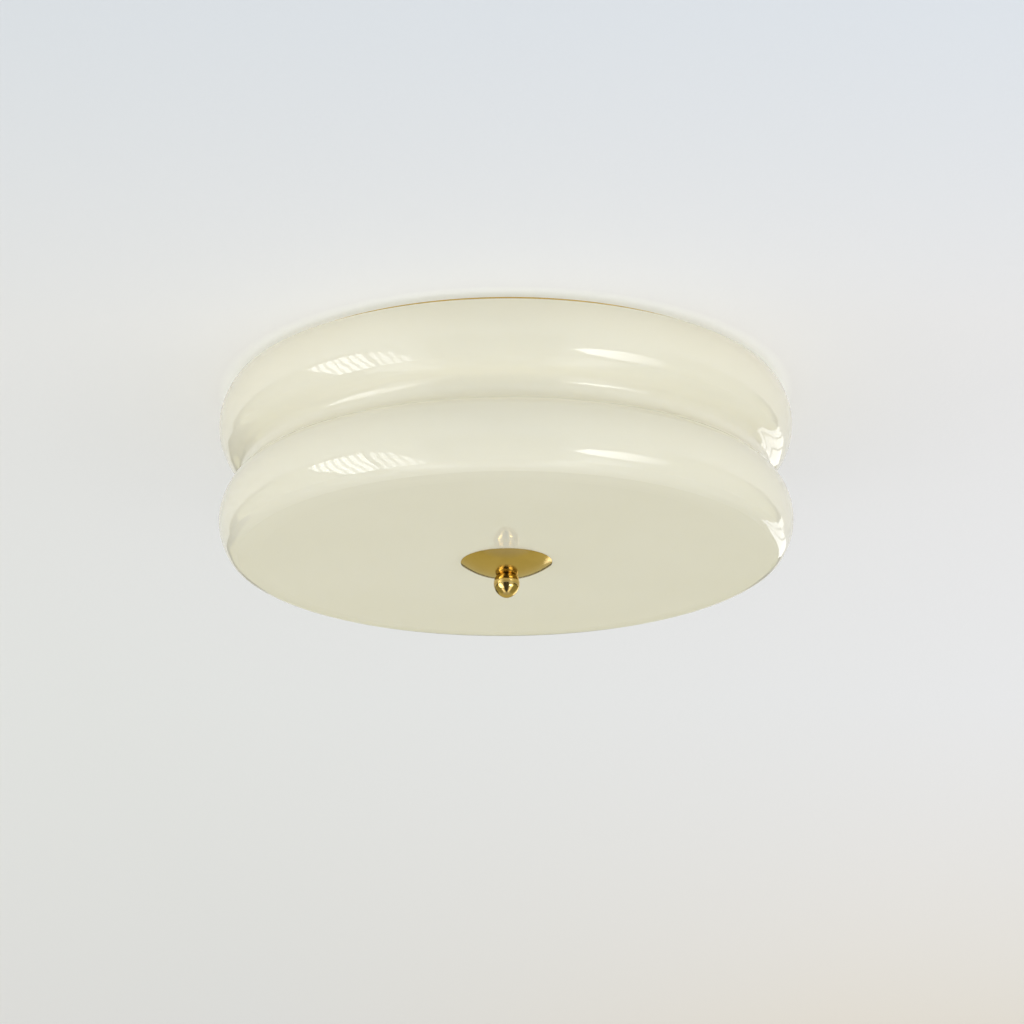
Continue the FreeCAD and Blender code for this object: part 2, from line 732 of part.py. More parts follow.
def pan_washers():
    return group("pan_washers", [
        ring(f"pan_washer_{side}", "small_washer_radius", "stud_radius + hole_clearance",
             "small_washer_sheet", x, "0", f"-{NUT_SEAT}")
        for side, x in STUD_PLACES.items()])


def pan_cap_nuts():
    """Domed nuts under the pan, blind at their lower end."""
    nuts = []
    for side, x in STUD_PLACES.items():
        bottom = f"-({NUT_SEAT} + cap_nut_height)"
        bar = prism(f"cap_nut_bar_{side}", "cap_nut_flats", "cap_nut_height", x, "0", bottom)
        dome = sphere(f"cap_nut_dome_{side}", "cap_nut_dome", x, "0", bottom)
        bore = cylinder(f"cap_nut_bore_{side}", "stud_radius + thread_gap", "stud_end + thread_gap", x, "0",
                        f"-({NUT_SEAT} + stud_end + thread_gap)")
        nuts.append(cut(f"cap_nut_{side}", fuse(f"cap_nut_blank_{side}", [bar, dome]), bore))
    return group("pan_cap_nuts", nuts)


# Centre rod and what is clamped on it

def centre_rod():
    """Threaded rod from over the plate down into the ball."""
    bottom = f"({FINIAL_TOP} + rod_engagement)"
    return cylinder("centre_rod", "rod_radius", f"{bottom} - rod_top_drop", "0", "0", f"-{bottom}")


def rod_washers():
    """One washer over the plate and one under it."""
    return group("rod_washers", [
        ring("rod_washer_upper", "rod_washer_radius", "rod_radius + hole_clearance", "rod_washer_sheet",
             "0", "0", f"-{PLATE_TOP}"),
        ring("rod_washer_lower", "rod_washer_radius", "rod_radius + hole_clearance", "rod_washer_sheet",
             "0", "0", "-(pan_depth + rod_washer_sheet)")])


def rod_nut(label, seat):
    """A hexagon nut on the rod, whose lower face is at the given height."""
    return hex_nut(label, "rod_nut_flats", "rod_radius + thread_gap", "rod_nut_height", "0", "0", seat)


def shade_stop_washer():
    return ring("shade_stop_washer", "stop_washer_radius", "rod_radius + hole_clearance", "stop_washer_sheet",
                "0", "0", f"-{SEAL_TOP}")


def shade_inner_seal():
    return ring("shade_inner_seal", "stop_washer_radius", "glass_hole_radius", "inner_seal_sheet",
                "0", "0", f"-({GLASS_FLOOR} - seat_gap)")


# Dish and ball

def finial_dish():
    body = new_body("finial_dish")
    sketch = plane_sketch(body, "XZ_Plane")
    centre_rise = ("((dish_radius ^ 2 - dish_flat_radius ^ 2 - dish_depth ^ 2) / (2 * dish_depth))")
    outline(sketch, [
        ("0", f"-{DISH_BOTTOM}"),
        ("dish_flat_radius", f"-{DISH_BOTTOM}", f"sqrt(dish_radius ^ 2 + {centre_rise} ^ 2)", 1),
        ("dish_radius", f"-{DISH_TOP}"),
        ("0", f"-{DISH_TOP}"),
    ])
    hollow(body, revolve(body, sketch), "dish_wall")
    hole = plane_sketch(body, "XY_Plane", f"-{DISH_BOTTOM}")
    circles(hole, "rod_radius + hole_clearance", [("0", "0")])
    pocket(body, hole, "2 * dish_wall + overrun", midplane=True)
    return body


def dish_seal():
    return ring("dish_seal", "dish_seal_radius", "dish_seal_radius - dish_seal_width", "dish_seal_sheet",
                "0", "0", f"-({DISH_TOP} + dish_seal_sheet)")


def finial():
    """The ball: round above its waist, drawn out a little below it, with a blind threaded hole."""
    body = new_body("finial")
    sketch = plane_sketch(body, "XZ_Plane")
    lower_radius = "(finial_radius ^ 2 + finial_tip_length ^ 2) / (2 * finial_radius)"
    hole_drop = f"({FINIAL_TOP} + finial_thread_depth)"
    outline(sketch, [
        ("0", f"-{hole_drop}"),
        ("rod_radius + thread_gap", f"-{hole_drop}"),
        ("rod_radius + thread_gap", f"-{FINIAL_TOP}"),
        ("finial_top_radius", f"-{FINIAL_TOP}", "finial_radius", -1),
        ("finial_radius", f"-{FINIAL_WAIST}", lower_radius, -1),
        ("0", f"-({FINIAL_WAIST} + finial_tip_length)"),
    ])
    revolve(body, sketch)
    return body


# Lampholders, built upright and laid along their axes

def holder_bracket(number, angle):
    body = new_body(f"holder_bracket_{number}")
    sketch = plane_sketch(body, "XZ_Plane")
    inner = "holder_back - bracket_sheet"
    leg_end = "-(lamp_drop + bracket_leg_extra)"
    outline(sketch, [
        (inner, leg_end),
        ("holder_back", leg_end),
        ("holder_back", "-(pan_depth + bracket_bend)", "bracket_bend - bracket_sheet", -1),
        (f"{inner} + bracket_bend", "-(pan_depth + bracket_sheet)"),
        ("bracket_foot_end", "-(pan_depth + bracket_sheet)"),
        ("bracket_foot_end", "-pan_depth"),
        (f"{inner} + bracket_bend", "-pan_depth", "bracket_bend", 1),
        (inner, "-(pan_depth + bracket_bend)"),
    ])
    pad(body, sketch, "bracket_width", midplane=True)
    rivets = plane_sketch(body, "XY_Plane", "-pan_depth")
    circles(rivets, "screw_radius + hole_clearance", [("rivet_near", "0"), ("rivet_far", "0")])
    pocket(body, rivets, "2 * bracket_sheet + overrun", midplane=True)
    screws = plane_sketch(body, "YZ_Plane", "holder_back")
    circles(screws, "screw_radius + hole_clearance", [
        ("0", "-lamp_drop + holder_screw_offset"), ("0", "-lamp_drop - holder_screw_offset")])
    pocket(body, screws, "2 * bracket_sheet + overrun", midplane=True)
    return around_axis(body, angle)


def bracket_rivets():
    """Two rivets through each bracket's foot and the plate."""
    rivets = []
    for number, angle in enumerate(HOLDER_ANGLES, start=1):
        for spot in ("near", "far"):
            name = f"rivet_{number}_{spot}"
            x, under = f"rivet_{spot}", "(pan_depth + bracket_sheet)"
            body = screw(name, "screw_radius", "screw_head_radius", "rivet_head_height",
                         x, "0", PLATE_TOP, under)
            foot = cylinder(f"{name}_foot", "screw_head_radius", "rivet_head_height", x, "0",
                            f"-({under} + rivet_head_height)")
            rivets.append(around_axis(fuse(f"{name}_whole", [body, foot]), angle))
    return group("bracket_rivets", rivets)


def holder_body(number, angle):
    """Square terminal end and round skirt of one moulded lampholder."""
    body = new_body(f"holder_body_{number}")
    block = plane_sketch(body, "XY_Plane", "holder_back")
    side = "(2 * holder_block_half)"
    rounded_rectangle(block, "0", "0", side, side, "holder_block_round")
    pad(body, block, "holder_block_length")
    skirt = plane_sketch(body, "XY_Plane", "holder_back + holder_block_length")
    circles(skirt, "holder_radius", [("0", "0")])
    barrel = pad(body, skirt, "holder_length - holder_block_length")
    mouth_level = size(HOLDER_MOUTH)
    round_edges(body, barrel, "holder_skirt_round",
                lambda edge: abs(edge.CenterOfMass.z - mouth_level) < edge.Tolerance)
    bore = plane_sketch(body, "XY_Plane", HOLDER_MOUTH)
    circles(bore, "holder_bore_radius", [("0", "0")])
    pocket(body, bore, "holder_length - holder_floor")
    screws = plane_sketch(body, "XY_Plane", "holder_back")
    circles(screws, "screw_radius + thread_gap",
            [("holder_screw_offset", "0"), ("-holder_screw_offset", "0")])
    pocket(body, screws, "holder_screw_depth", reversed_cut=True)
    entry = plane_sketch(body, "YZ_Plane", "-holder_block_half")
    circles(entry, "lead_radius + thread_gap", [("lead_offset", "lead_distance")])
    pocket(body, entry, "2 * (lead_entry_depth + thread_gap)", midplane=True)
    return on_holder_axis(body, angle)


def holder_shell(number, angle):
    """Threaded brass sleeve, drawn plain, with a turned-in floor ring."""
    body = new_body(f"holder_shell_{number}")
    sketch = plane_sketch(body, "XZ_Plane")
    floor = "(holder_back + holder_floor + thread_gap)"
    inner_floor = f"({floor} + shell_outer_radius - shell_inner_radius)"
    outline(sketch, [
        ("shell_outer_radius", floor),
        ("shell_outer_radius", f"{floor} + shell_length"),
        ("shell_inner_radius", f"{floor} + shell_length"),
        ("shell_inner_radius", inner_floor),
        ("shell_inner_radius - shell_floor_width", inner_floor),
        ("shell_inner_radius - shell_floor_width", floor),
    ])
    revolve(body, sketch)
    return on_holder_axis(body, angle)


def holder_contact(number, angle):
    """Bent spring leaf on the holder's floor, under the lamp's centre contact."""
    body = new_body(f"holder_contact_{number}")
    sketch = plane_sketch(body, "XZ_Plane")
    floor = "(holder_back + holder_floor)"
    tip = f"({floor} + contact_rise)"
    end = "contact_reach / 2"
    outline(sketch, [
        (f"-{end}", floor),
        (f"contact_foot - {end}", floor),
        (f"contact_foot + contact_rise - {end}", f"{tip} - contact_sheet"),
        (f"{end} - contact_sheet", f"{tip} - contact_sheet"),
        (f"{end} - contact_sheet", tip),
        (f"contact_foot + contact_rise - contact_sheet - {end}", tip),
        (f"contact_foot - contact_sheet - {end}", f"{floor} + contact_sheet"),
        (f"-{end}", f"{floor} + contact_sheet"),
    ])
    pad(body, sketch, "contact_width", midplane=True)
    return on_holder_axis(body, angle)


def holder_screws():
    """Two screws through each bracket's leg into the holder's back."""
    screws = []
    seat = "(holder_back - bracket_sheet)"
    for number, angle in enumerate(HOLDER_ANGLES, start=1):
        for spot, x in (("lower", "holder_screw_offset"), ("upper", "-holder_screw_offset")):
            name = f"holder_screw_{number}_{spot}"
            stem = cylinder(f"{name}_stem", "screw_radius", "bracket_sheet + holder_screw_depth - thread_gap",
                            x, "0", seat)
            head = cylinder(f"{name}_head", "screw_head_radius", "screw_head_height", x, "0",
                            f"{seat} - screw_head_height")
            screws.append(on_holder_axis(fuse(name, [stem, head]), angle))
    return group("holder_screws", screws)


# Lamps

def bulb_cap(number, angle):
    """Screw cap with its insulator and centre contact."""
    body = new_body(f"bulb_cap_{number}")
    sketch = plane_sketch(body, "XZ_Plane")
    insulator = "bulb_start + bulb_contact_height"
    outline(sketch, [
        ("0", "bulb_start"),
        ("bulb_contact_radius", "bulb_start"),
        ("bulb_contact_radius", insulator),
        ("bulb_cap_radius", f"{insulator} + bulb_insulator_height"),
        ("bulb_cap_radius", BULB_BASE_START),
        ("0", BULB_BASE_START),
    ])
    revolve(body, sketch)
    return on_holder_axis(body, angle)


def bulb_base(number, angle):
    """Plastic housing that flares from the cap to the globe."""
    body = new_body(f"bulb_base_{number}")
    sketch = plane_sketch(body, "XZ_Plane")
    outline(sketch, [
        ("0", BULB_BASE_START),
        ("bulb_neck_radius", BULB_BASE_START),
        ("bulb_neck_radius", f"{BULB_BASE_START} + bulb_neck_length",
         f"bulb_base_length * {BULB_FLARE_SHARE}", -1),
        ("bulb_base_radius", BULB_BASE_END),
        ("0", BULB_BASE_END),
    ])
    revolve(body, sketch)
    return on_holder_axis(body, angle)


def bulb_globe(number, angle):
    """Opal globe, hollow and open towards the housing."""
    body = new_body(f"bulb_globe_{number}")
    sketch = plane_sketch(body, "XZ_Plane")
    centre = f"({BULB_BASE_END} + {GLOBE_RISE})"
    inner = "(bulb_globe_radius - bulb_globe_wall)"
    outline(sketch, [
        ("bulb_base_radius", BULB_BASE_END, "bulb_globe_radius", 1),
        ("0", f"{centre} + bulb_globe_radius"),
        ("0", f"{centre} + {inner}", inner, -1),
        (f"sqrt({inner} ^ 2 - {GLOBE_RISE} ^ 2)", BULB_BASE_END),
    ])
    revolve(body, sketch)
    return on_holder_axis(body, angle)


# Connection box, leads and earth

def box_shell():
    """Open connection box on the plate: two tall bosses for the lid, two short ones for its own screws."""
    body = new_body("connection_box")
    outer = plane_sketch(body, "XY_Plane", f"-{PLATE_TOP}")
    rounded_rectangle(outer, "0", "-box_centre", "box_length", "box_width", "box_corner")
    pad(body, outer, "box_height")
    inner = plane_sketch(body, "XY_Plane", f"-{BOX_TOP}")
    rectangle(inner, "0", "-box_centre", "(box_length - 2 * box_wall)",
              "(box_width - 2 * box_wall)")
    pocket(body, inner, "box_height - box_wall")
    tall = plane_sketch(body, "XY_Plane", f"-{BOX_FLOOR}")
    circles(tall, "lid_boss_radius", LID_SCREW_PLACES)
    pad(body, tall, "box_height - box_wall")
    short = plane_sketch(body, "XY_Plane", f"-{BOX_FLOOR}")
    circles(short, "lid_boss_radius", BOX_SCREW_PLACES)
    pad(body, short, "box_boss_height")
    lid_threads = plane_sketch(body, "XY_Plane", f"-{BOX_TOP}")
    circles(lid_threads, "lid_screw_radius + thread_gap", LID_SCREW_PLACES)
    pocket(body, lid_threads, "lid_screw_length")
    box_threads = plane_sketch(body, "XY_Plane", f"-{PLATE_TOP}")
    circles(box_threads, "screw_radius + thread_gap", BOX_SCREW_PLACES)
    pocket(body, box_threads, "box_screw_length - pan_sheet + thread_gap", reversed_cut=True)
    entries = plane_sketch(body, "XZ_Plane", "box_centre - box_width / 2")
    circles(entries, "lead_radius + hole_clearance", [(x, "-lead_run_drop") for x in LEAD_ENTRIES])
    pocket(body, entries, "2 * box_wall + overrun", midplane=True)
    supply = plane_sketch(body, "XZ_Plane", "box_centre + box_width / 2")
    circles(supply, "supply_hole_radius", [("0", f"-{STRIP_AXIS}")])
    pocket(body, supply, "2 * box_wall + overrun", midplane=True)
    earth = plane_sketch(body, "YZ_Plane", "box_length / 2")
    circles(earth, "earth_lead_radius + hole_clearance", [("-box_centre", f"-{STRIP_AXIS}")])
    pocket(body, earth, "2 * box_wall + overrun", midplane=True)
    return body


def box_screws():
    """Two screws up through the plate into the box's short bosses."""
    screws = []
    for index, (x, y) in enumerate(BOX_SCREW_PLACES, start=1):
        stem = cylinder(f"box_screw_stem_{index}", "screw_radius", "box_screw_length", x, y, "-pan_depth")
        head = cylinder(f"box_screw_head_{index}", "screw_head_radius", "screw_head_height", x, y,
                        "-(pan_depth + screw_head_height)")
        screws.append(fuse(f"box_screw_{index}", [stem, head]))
    return group("box_screws", screws)


def connection_lid():
    body = new_body("connection_lid")
    sketch = plane_sketch(body, "XY_Plane", f"-{BOX_TOP}")
    rounded_rectangle(sketch, "0", "-box_centre", "box_length", "box_width", "box_corner")
    pad(body, sketch, "lid_sheet")
    holes = plane_sketch(body, "XY_Plane", f"-{BOX_TOP}")
    circles(holes, "lid_screw_radius + hole_clearance", LID_SCREW_PLACES)
    pocket(body, holes, "2 * lid_sheet + overrun", midplane=True)
    return body


def lid_screws():
    seat = f"({BOX_TOP} - lid_sheet)"
    tip = f"({BOX_TOP} + lid_screw_length - thread_gap)"
    return group("lid_screws", [
        screw(f"lid_screw_{index}", "lid_screw_radius", "2 * lid_screw_radius", "lid_screw_radius",
              x, y, seat, tip)
        for index, (x, y) in enumerate(LID_SCREW_PLACES, start=1)])


def pole_places():
    middle = (STRIP_POLES - 1) / 2
    return [f"({pole - middle}) * {STRIP_PITCH}" for pole in range(STRIP_POLES)]


def terminal_strip():
    """Plastic strip with a bore right through each pole and a screw well at each end of it."""
    body = new_body("terminal_strip")
    block = plane_sketch(body, "XY_Plane", f"-{BOX_FLOOR}")
    rectangle(block, "0 * strip_length", "-box_centre", "strip_length", "strip_width")
    pad(body, block, "strip_height")
    bores = plane_sketch(body, "XZ_Plane", "box_centre")
    circles(bores, "strip_bore_radius", [(x, f"-{STRIP_AXIS}") for x in pole_places()])
    pocket(body, bores, "strip_width + overrun", midplane=True)
    wells = plane_sketch(body, "XY_Plane", f"strip_height - {BOX_FLOOR}")
    circles(wells, "strip_screw_radius + hole_clearance", screw_wells())
    pocket(body, wells, "strip_height / 2")
    return body


def screw_wells():
    return [(x, f"-box_centre + {side} * strip_screw_offset") for x in pole_places() for side in (-1, 1)]


def terminal_inserts():
    """Brass tubes in the strip's poles."""
    body = new_body("terminal_inserts")
    tubes = plane_sketch(body, "XZ_Plane", "box_centre")
    circles(tubes, "strip_bore_radius - thread_gap", [(x, f"-{STRIP_AXIS}") for x in pole_places()])
    pad(body, tubes, "insert_length", midplane=True)
    bores = plane_sketch(body, "XZ_Plane", "box_centre")
    circles(bores, "insert_bore_radius", [(x, f"-{STRIP_AXIS}") for x in pole_places()])
    pocket(body, bores, "insert_length + overrun", midplane=True)
    return body


def terminal_screws():
    body = new_body("terminal_screws")
    seat = f"(strip_bore_radius - {STRIP_AXIS})"
    sketch = plane_sketch(body, "XY_Plane", seat)
    circles(sketch, "strip_screw_radius", screw_wells())
    pad(body, sketch, "strip_height / 2 - strip_bore_radius")
    return body


def lead_grommets():
    """Rubber rings that line the plate's three lead holes."""
    body = new_body("lead_grommets")
    centre = [("-lead_offset", "lead_distance")]
    lower = plane_sketch(body, "XY_Plane", "-(pan_depth + grommet_flange)")
    circles(lower, "grommet_radius", centre)
    bottom = pad(body, lower, "grommet_flange")
    neck = plane_sketch(body, "XY_Plane", "-pan_depth")
    circles(neck, "grommet_neck_radius", centre)
    middle = pad(body, neck, "pan_sheet")
    upper = plane_sketch(body, "XY_Plane", f"-{PLATE_TOP}")
    circles(upper, "grommet_radius", centre)
    top = pad(body, upper, "grommet_flange")
    bore = plane_sketch(body, "XY_Plane", "-pan_depth")
    circles(bore, "lead_radius + thread_gap", centre)
    hole = pocket(body, bore, "4 * grommet_flange + 2 * pan_sheet", midplane=True)
    polar(body, [bottom, middle, top, hole], len(HOLDER_ANGLES))
    return body


def rounded_path(points, first_bend):
    """Straight runs joined by tangent arcs, each as large as its runs allow. The first has its own radius."""
    edges = []
    start = points[0]
    for index, (before, corner, after) in enumerate(zip(points, points[1:], points[2:])):
        back, ahead = before - corner, after - corner
        half_turn = (math.pi - back.getAngle(ahead)) / 2
        reach = BEND_SHARE * min(back.Length, ahead.Length)
        if index == 0:
            reach = first_bend * math.tan(half_turn)
        radius = reach / math.tan(half_turn)
        print("  bend radius", round(radius, 2))
        back.normalize()
        ahead.normalize()
        first, last = corner + back * reach, corner + ahead * reach
        inward = (back + ahead).normalize()
        centre = corner + inward * math.hypot(radius, reach)
        edges.append(Part.LineSegment(start, first).toShape())
        edges.append(Part.Arc(first, centre - inward * radius, last).toShape())
        start = last
    edges.append(Part.LineSegment(start, points[-1]).toShape())
    return Part.Wire(edges)


def lead(label, points, radius, first_bend):
    """A round lead along its route, whose volume has to match its length."""
    print(label)
    path = rounded_path(points, first_bend)
    section = Part.Wire(Part.makeCircle(radius, points[0], points[1] - points[0]))
    solid = path.makePipeShell([section], True, False)
    expected = math.pi * radius ** 2 * path.Length
    if abs(solid.Volume / expected - 1) > VOLUME_TOLERANCE:
        raise RuntimeError(f"{label} has the wrong volume")
    piece = doc.addObject("Part::Feature", label)
    piece.Label = label
    piece.Shape = solid
    return piece


def lamp_lead(number, angle):
    """Two-core lead from a holder's terminal end, through its grommet, to the connection box."""
    level = size("-lead_run_drop")
    distance = size("lead_distance")
    foot = turned(FreeCAD.Vector(distance, size("lead_offset"), 0), angle)
    bottom = size("-lamp_drop + holder_block_half - lead_entry_depth")
    entry_x = size(LEAD_ENTRIES[number - 1])
    wall_y = size("-box_centre + box_width / 2")
    points = [FreeCAD.Vector(foot.x, foot.y, bottom), FreeCAD.Vector(foot.x, foot.y, level)]
    for x_share, y_share in LEAD_ROUTE_SHARES[number]:
        points.append(FreeCAD.Vector(x_share * distance, y_share * distance, level))
    points.append(FreeCAD.Vector(entry_x, wall_y + size("lead_approach"), level))
    points.append(FreeCAD.Vector(entry_x, size("-box_centre + strip_width / 2 + seat_gap"), level))
    return lead(f"lamp_lead_{number}", points, size("lead_radius"), size("lead_bend"))


def earth_screw():
    """Screw up through the plate, with its head underneath."""
    tip = f"({PLATE_TOP} - earth_ring_sheet - earth_nut_height - earth_screw_end)"
    stem = cylinder("earth_stem", "screw_radius", f"pan_depth - {tip}", EARTH_X, EARTH_Y, "-pan_depth")
    head = cylinder("earth_head", "screw_head_radius", "screw_head_height", EARTH_X, EARTH_Y,
                    "-(pan_depth + screw_head_height)")
    return fuse("earth_screw", [stem, head])


def earth_ring():
    """Ring terminal with a crimped barrel that holds the earth lead."""
    eye = cylinder("earth_eye", "earth_ring_radius", "earth_ring_sheet",
                   EARTH_X, EARTH_Y, f"-{PLATE_TOP}")
    tongue = doc.addObject("Part::Box", "earth_tongue")
    tongue.setExpression("Length", bound("2.5 * earth_ring_radius"))
    tongue.setExpression("Width", bound("2 * earth_lead_radius"))
    tongue.setExpression("Height", bound("earth_ring_sheet"))
    place(tongue, f"{EARTH_X} - 3 * earth_ring_radius", f"{EARTH_Y} - earth_lead_radius", f"-{PLATE_TOP}")
    outer = cylinder("earth_barrel", EARTH_BARREL_RISE, "earth_ring_radius", "0", "0", "0")
    inner = cylinder("earth_bore", "earth_lead_radius + thread_gap", "earth_ring_radius + 2 * overrun",
                     "0", "0", "0")
    start = f"{EARTH_X} - 2 * earth_ring_radius"
    for tube, start in ((outer, start), (inner, f"{start} + overrun")):
        tube.Placement.Rotation = FreeCAD.Rotation(FreeCAD.Vector(0, 1, 0), -90)
        place(tube, start, EARTH_Y, f"{EARTH_BARREL_RISE} - {PLATE_TOP}")
    hole = cylinder("earth_hole", "screw_radius + hole_clearance", "earth_ring_sheet + 2 * overrun",
                    EARTH_X, EARTH_Y, f"-{PLATE_TOP} - overrun")
    holes = fuse("earth_ring_holes", [hole, inner])
    return cut("earth_ring", fuse("earth_ring_blank", [eye, tongue, outer]), holes)


def earth_nut():
    return hex_nut("earth_nut", "earth_nut_flats", "screw_radius + thread_gap", "earth_nut_height",
                   EARTH_X, EARTH_Y, f"earth_ring_sheet - {PLATE_TOP}")


def earth_lead():
    """Lead from the ring terminal's barrel into the connection box."""
    low = size(f"{EARTH_BARREL_RISE} - {PLATE_TOP}")
    high = size(f"-{STRIP_AXIS}")
    y = size(EARTH_Y)
    centre_y = size("-box_centre")
    points = [
        FreeCAD.Vector(size(f"{EARTH_X} - 2 * earth_ring_radius"), y, low),
        FreeCAD.Vector(size(f"{EARTH_X} - 3.5 * earth_ring_radius"), y, low),
        FreeCAD.Vector(size("box_length / 2 + earth_lead_rise"), centre_y, high),
        FreeCAD.Vector(size("strip_length / 2 + seat_gap"), centre_y, high),
    ]
    return lead("earth_lead", points, size("earth_lead_radius"), size("earth_lead_bend"))


def make_nodes():
    """Every sub-part, in the order in which the lamp is put together."""
    nodes = [
        ceiling_strap(), strap_studs(), pan(), pan_washers(), pan_cap_nuts(),
        centre_rod(), rod_washers(),
        rod_nut("rod_top_nut", f"rod_washer_sheet - {PLATE_TOP}"),
        rod_nut("rod_lower_nut", "-(pan_depth + rod_washer_sheet + rod_nut_height)"),
        rod_nut("shade_stop_nut", f"-{WASHER_TOP}"),
        shade_stop_washer(), shade_inner_seal(),
        bracket_rivets(), holder_screws(),
        box_shell(), box_screws(), connection_lid(), lid_screws(),
        terminal_strip(), terminal_inserts(), terminal_screws(), lead_grommets(),
        earth_screw(), earth_ring(), earth_nut(), earth_lead(),
        glass_shade(), finial_dish(), dish_seal(), finial(),
    ]
    for number, angle in enumerate(HOLDER_ANGLES, start=1):
        for make in (holder_bracket, holder_body, holder_shell, holder_contact, lamp_lead,
                     bulb_cap, bulb_base, bulb_globe):
            nodes.append(make(number, angle))
    return nodes


def check(nodes):
    """Stop if any feature failed or any sub-part isn't a sound solid."""
    for item in doc.Objects:
        if "Invalid" in item.State or "Error" in item.State:
            raise RuntimeError(f"{item.Name} failed: {item.State}")
    for node in nodes:
        shape = node.Shape
        if shape.isNull() or not shape.isValid() or not shape.Solids:
            raise RuntimeError(f"{node.Label} has no valid solid")


fill_sheet()
all_nodes = make_nodes()
doc.recompute()
check(all_nodes)
os.makedirs("parts", exist_ok=True)
for node in all_nodes:
    node.Shape.exportStep(os.path.join("parts", f"{node.Label}.step"))
    print(node.Label, len(node.Shape.Solids), round(node.Shape.Volume / 1000, 2), "cm3")
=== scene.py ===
"""Looks, light and camera for a flush ceiling light with a two-tier opal glass shade."""
import json
import math

import bmesh
import bpy
from mathutils import Matrix, Vector

MM = 0.001
WHITE = (1.0, 1.0, 1.0)

# Camera: where it stands about its target, and its aim
CAMERA_TARGET = Vector((0.0, 0.0, -120.0 * MM))
CAMERA_DISTANCE = 2.0
CAMERA_RISE = 0.31058
CAMERA_PITCH = math.radians(18.7856)
CAMERA_YAW = math.radians(-0.1205)
CAMERA_ROLL = -0.00675
CAMERA_LENS = 101.882
SENSOR_WIDTH = 36.0

# Stage: sizes in metres, and painted-light tones along the ceiling, which stand in for how the
# room's light falls on it, as a share of the way from near to far
CEILING_RISE = 0.2 * MM
CEILING_HOLE = 178.0 * MM
CEILING_REACH = 30.0
CEILING_DEPTHS = (-0.9, 2.9)
CEILING_SIDES = (-0.4, 0.5)
CEILING_LEFT_PAINTED_LIGHT = [(0.0, (215, 217, 220)), (0.09, (217, 220, 222)), (0.2, (225, 224, 221)),
                (0.45, (225, 225, 221)), (1.0, (223, 221, 217))]
CEILING_RIGHT_PAINTED_LIGHT = [(0.0, (216, 221, 229)), (0.09, (222, 226, 232)), (0.2, (231, 229, 229)),
                 (0.45, (232, 231, 231)), (1.0, (229, 222, 211))]
# Painted light: glow of the ceiling round the lamp, its level, reach from the axis, and tint
PAINTED_BOUNCE_LEVEL = 0.2
PAINTED_BOUNCE_REACH = (0.184, 0.2015)
PAINTED_BOUNCE_TINT = (0.88, 1.0, 0.84)
FLOOR_DROP = -2.2
FLOOR_REACH = 9.0
CIRCLE_STEPS = 160

# World
WORLD_LEVEL = 0.52
WORLD_SIDES = 0.15
WORLD_FRONT = 0.2
WORLD_LEAST = 0.08
BACKDROP_LEVEL = 0.78
WORLD_TINT = (0.99, 1.0, 1.0)

# Lights: direction from the lamp as azimuth and elevation in degrees, strength and tint
SKY_TINT = (0.95, 0.98, 1.0)
FILLS = [
    ("front_fill", (180, -50), 0.85, (0.88, 0.94, 1.0)),
    ("left_fill", (-95, -30), 0.55, WHITE),
    ("right_fill", (95, -30), 0.55, WHITE),
    ("back_fill", (0, -8), 0.5, (1.0, 0.99, 0.97)),
    ("upper_front_fill", (180, 15), 0.41, SKY_TINT),
    ("upper_left_fill", (-90, 15), 0.16, SKY_TINT),
    ("upper_right_fill", (90, 15), 0.1, SKY_TINT),
]
WINDOWS = [("left_window", (-97, -33)), ("right_window", (122, -33))]
WINDOW_SIZE = (1.3, 1.1)
WINDOW_DISTANCE = 2.6
WINDOW_POWER = 3.0

# Panels seen only in reflections: distance, glow, and corners as directions from the lamp
PANELS = [
    ("left_curtain", 2.6, {"strength": 6.0, "folds": 2.0},
     [(-101, -3), (-109, -2), (-126, -4), (-126, -38), (-112, -29), (-105, -16)]),
    ("left_curtain_edge", 2.6, {"strength": 4.5, "folds": 2.0},
     [(-128.5, -6), (-137, -13), (-146, -37), (-128.5, -39)]),
    ("right_pane", 2.6, {"strength": 8.0, "fade": (1.1, -0.45)},
     [(115, -14), (135, -14), (148, -17), (154, -22), (148, -27), (135, -28), (115, -24)]),
    ("far_right_curtain", 3.0, {"strength": 2.2},
     [(45, 2.2), (31, 2.2), (24, 2.1), (21, -7), (25, -21), (34, -27), (42, -22)]),
    ("curtain_fold_31", 2.9, {"strength": 0.9}, [(31, 2), (32.2, 2), (31.2, -26), (30, -26)]),
    ("curtain_fold_38", 2.9, {"strength": 0.9}, [(38, 2), (39.2, 2), (38.2, -26), (37, -26)]),
    ("far_left_dark", 3.0, {"strength": 0.05},
     [(-29, 1.5), (-50.5, 1.5), (-50.5, -24.5), (-29, -16.5)]),
    ("left_wall", 3.2, {"strength": 1.6}, [(-112, -42), (-135, -42), (-135, -76), (-112, -76)]),
    ("right_wall", 3.2, {"strength": 1.6}, [(126, -32), (146, -32), (146, -76), (126, -76)]),
    ("front_dark", 2.9, {"strength": 0.06}, [(-150, 16), (158, 16), (158, -76), (-150, -76)]),
]
FOLD_DISTORTION = 1.2
FOLD_SHADE = 0.3
FOLD_RANGE = (0.05, 0.6)

# Walls beyond the lamp: first and last azimuth and glow, each under a dark strip of painted shade
# along its cornice
WALLS = [("back_wall", -60, 60, 0.56), ("left_side", -118, -60, 0.35),
         ("right_side", 60, 120, 0.35)]
WALL_TINT = (1.0, 0.96, 0.58)
WALL_DISTANCE = 3.6
WALL_HEIGHTS = (1, -60)
CORNICE_DISTANCE = 3.5
CORNICE_HEIGHTS = (1.4, -2)
# Glow of the painted shade strip under each cornice
CORNICE_SHADE_GLOW = 0.02

